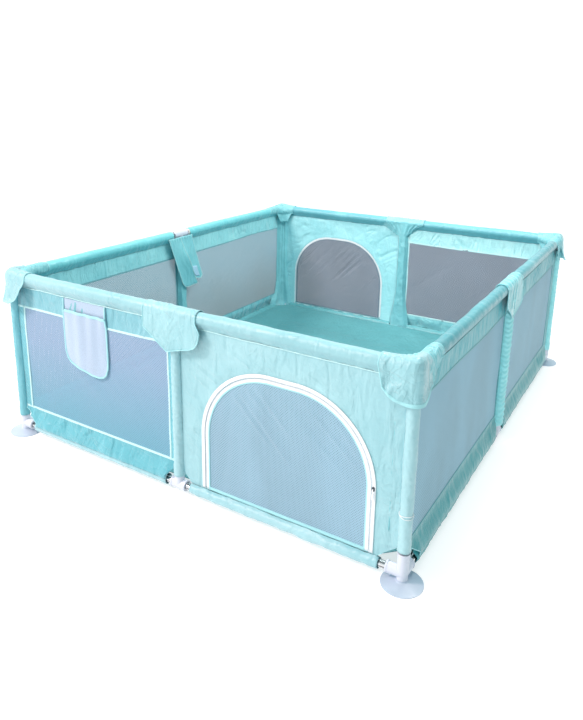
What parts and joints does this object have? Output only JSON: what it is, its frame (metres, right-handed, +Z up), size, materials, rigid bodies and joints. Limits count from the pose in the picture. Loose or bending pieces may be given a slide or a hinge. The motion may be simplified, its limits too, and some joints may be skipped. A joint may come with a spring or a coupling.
{
  "type": "playpen",
  "caption": "Rectangular fabric playpen on a tube frame, with mesh windows, zipped arched doors, connector flaps, a storage pocket and suction feet.",
  "frame": {"origin": "middle of the footprint, on the floor", "axes": "+X along the short front wall, +Y from the front wall to the back wall, +Z up"},
  "size_m": [1.614, 1.9136, 0.626],
  "materials": {
    "steel_tube": "bright plated steel tube",
    "white_plastic": "smooth white moulded plastic",
    "suction_rubber": "white, slightly glossy flexible cup",
    "rail_foam": "closed-cell foam padding",
    "aqua_cloth": "plain-weave aqua cloth, padded where it wraps a rail",
    "aqua_mesh": "fine see-through warp-knit mesh",
    "white_mesh": "fine white mesh with aqua binding",
    "floor_cloth": "coated aqua floor cloth",
    "zip_tape": "white woven zip tape with a pale coil",
    "zip_metal": "small dark painted slider and tab"
  },
  "bodies": {
    "frame_and_cloth": {"top_rail_front": "steel_tube", "bottom_rail_front": "steel_tube", "top_sleeve_front": "aqua_cloth", "bottom_sleeve_front": "aqua_cloth", "window_mesh_front": "aqua_mesh", "upright_front_middle": "steel_tube", "top_rail_right": "steel_tube", "bottom_rail_right": "steel_tube", "top_sleeve_right": "aqua_cloth", "bottom_sleeve_right": "aqua_cloth", "window_mesh_right": "aqua_mesh", "upright_right_middle": "steel_tube", "top_rail_back": "steel_tube", "bottom_rail_back": "steel_tube", "top_sleeve_back": "aqua_cloth", "bottom_sleeve_back": "aqua_cloth", "window_mesh_back": "aqua_mesh", "upright_back_middle": "steel_tube", "top_rail_left": "steel_tube", "bottom_rail_left": "steel_tube", "top_sleeve_left": "aqua_cloth", "bottom_sleeve_left": "aqua_cloth", "window_mesh_left": "aqua_mesh", "upright_left_middle": "steel_tube", "upright_front_right": "steel_tube", "lower_connector_front_right": "white_plastic", "upright_back_right": "steel_tube", "lower_connector_back_right": "white_plastic", "upright_back_left": "steel_tube", "lower_connector_back_left": "white_plastic", "upright_front_left": "steel_tube", "lower_connector_front_left": "white_plastic", "lower_tee_connectors": "white_plastic", "upper_corner_connectors": "white_plastic", "upper_tee_connectors": "white_plastic", "suction_feet": "suction_rubber", "post_sleeves": "aqua_cloth", "rail_foam": "rail_foam", "flap_saddles": "aqua_cloth", "storage_pocket": "white_mesh", "floor_cloth": "floor_cloth", "door_surround_front": "aqua_cloth", "zip_tape_front": "zip_tape", "door_surround_back": "aqua_cloth", "zip_tape_back": "zip_tape"},
    "flap_front_middle_body": {"flap_front_middle": "aqua_cloth"},
    "flap_right_middle_body": {"flap_right_middle": "aqua_cloth"},
    "flap_back_middle_body": {"flap_back_middle": "aqua_cloth"},
    "flap_left_middle_body": {"flap_left_middle": "aqua_cloth"},
    "flap_front_right_body": {"flap_front_right": "aqua_cloth"},
    "flap_back_right_body": {"flap_back_right": "aqua_cloth"},
    "flap_back_left_body": {"flap_back_left": "aqua_cloth"},
    "flap_front_left_body": {"flap_front_left": "aqua_cloth"},
    "door_leaf_front_body": {"door_leaf_front": "aqua_mesh"},
    "zip_slider_front_body": {"zip_slider_front": "zip_metal"},
    "zip_pull_front_body": {"zip_pull_front": "zip_metal"},
    "door_leaf_back_body": {"door_leaf_back": "aqua_mesh"},
    "zip_slider_back_body": {"zip_slider_back": "zip_metal"},
    "zip_pull_back_body": {"zip_pull_back": "zip_metal"}
  },
  "joints": [
    {"name": "flap_front_middle_swing", "type": "hinge", "parent": "frame_and_cloth", "child": "flap_front_middle_body", "pos_m": [0, -0.922, 0.612], "axis": [-1, 0, 0], "range_deg": [0, 200]},
    {"name": "flap_right_middle_swing", "type": "hinge", "parent": "frame_and_cloth", "child": "flap_right_middle_body", "pos_m": [0.772, 0, 0.612], "axis": [0, -1, 0], "range_deg": [0, 200]},
    {"name": "flap_back_middle_swing", "type": "hinge", "parent": "frame_and_cloth", "child": "flap_back_middle_body", "pos_m": [0, 0.922, 0.612], "axis": [1, 0, 0], "range_deg": [0, 200]},
    {"name": "flap_left_middle_swing", "type": "hinge", "parent": "frame_and_cloth", "child": "flap_left_middle_body", "pos_m": [-0.728, 0, 0.596], "axis": [0, -1, 0], "range_deg": [0, 170]},
    {"name": "flap_front_right_lift", "type": "hinge", "parent": "frame_and_cloth", "child": "flap_front_right_body", "pos_m": [0.69343, -0.84343, 0.625], "axis": [-0.7071, -0.7071, 0], "range_deg": [0, 110]},
    {"name": "flap_back_right_lift", "type": "hinge", "parent": "frame_and_cloth", "child": "flap_back_right_body", "pos_m": [0.69343, 0.84343, 0.625], "axis": [0.7071, -0.7071, 0], "range_deg": [0, 110]},
    {"name": "flap_back_left_lift", "type": "hinge", "parent": "frame_and_cloth", "child": "flap_back_left_body", "pos_m": [-0.69343, 0.84343, 0.625], "axis": [0.7071, 0.7071, 0], "range_deg": [0, 110]},
    {"name": "flap_front_left_lift", "type": "hinge", "parent": "frame_and_cloth", "child": "flap_front_left_body", "pos_m": [-0.69343, -0.84343, 0.625], "axis": [-0.7071, 0.7071, 0], "range_deg": [0, 110]},
    {"name": "door_front_swing", "type": "hinge", "parent": "frame_and_cloth", "child": "door_leaf_front_body", "pos_m": [0.38, -0.9, 0.056], "axis": [1, 0, 0], "range_deg": [-90, 90]},
    {"name": "zip_front_slide", "type": "slide", "parent": "frame_and_cloth", "child": "zip_slider_front_body", "axis": [0, 0, -1], "range_m": [0, 0.15]},
    {"name": "zip_front_pull", "type": "hinge", "parent": "zip_slider_front_body", "child": "zip_pull_front_body", "pos_m": [0.6585, -0.908, 0.247], "axis": [-1, 0, 0], "range_deg": [0, 170]},
    {"name": "door_back_swing", "type": "hinge", "parent": "frame_and_cloth", "child": "door_leaf_back_body", "pos_m": [-0.38, 0.9, 0.056], "axis": [-1, 0, 0], "range_deg": [-90, 90]},
    {"name": "zip_back_slide", "type": "slide", "parent": "frame_and_cloth", "child": "zip_slider_back_body", "axis": [0, 0, -1], "range_m": [0, 0.15]},
    {"name": "zip_back_pull", "type": "hinge", "parent": "zip_slider_back_body", "child": "zip_pull_back_body", "pos_m": [-0.6585, 0.908, 0.247], "axis": [1, 0, 0], "range_deg": [0, 170]}
  ]
}
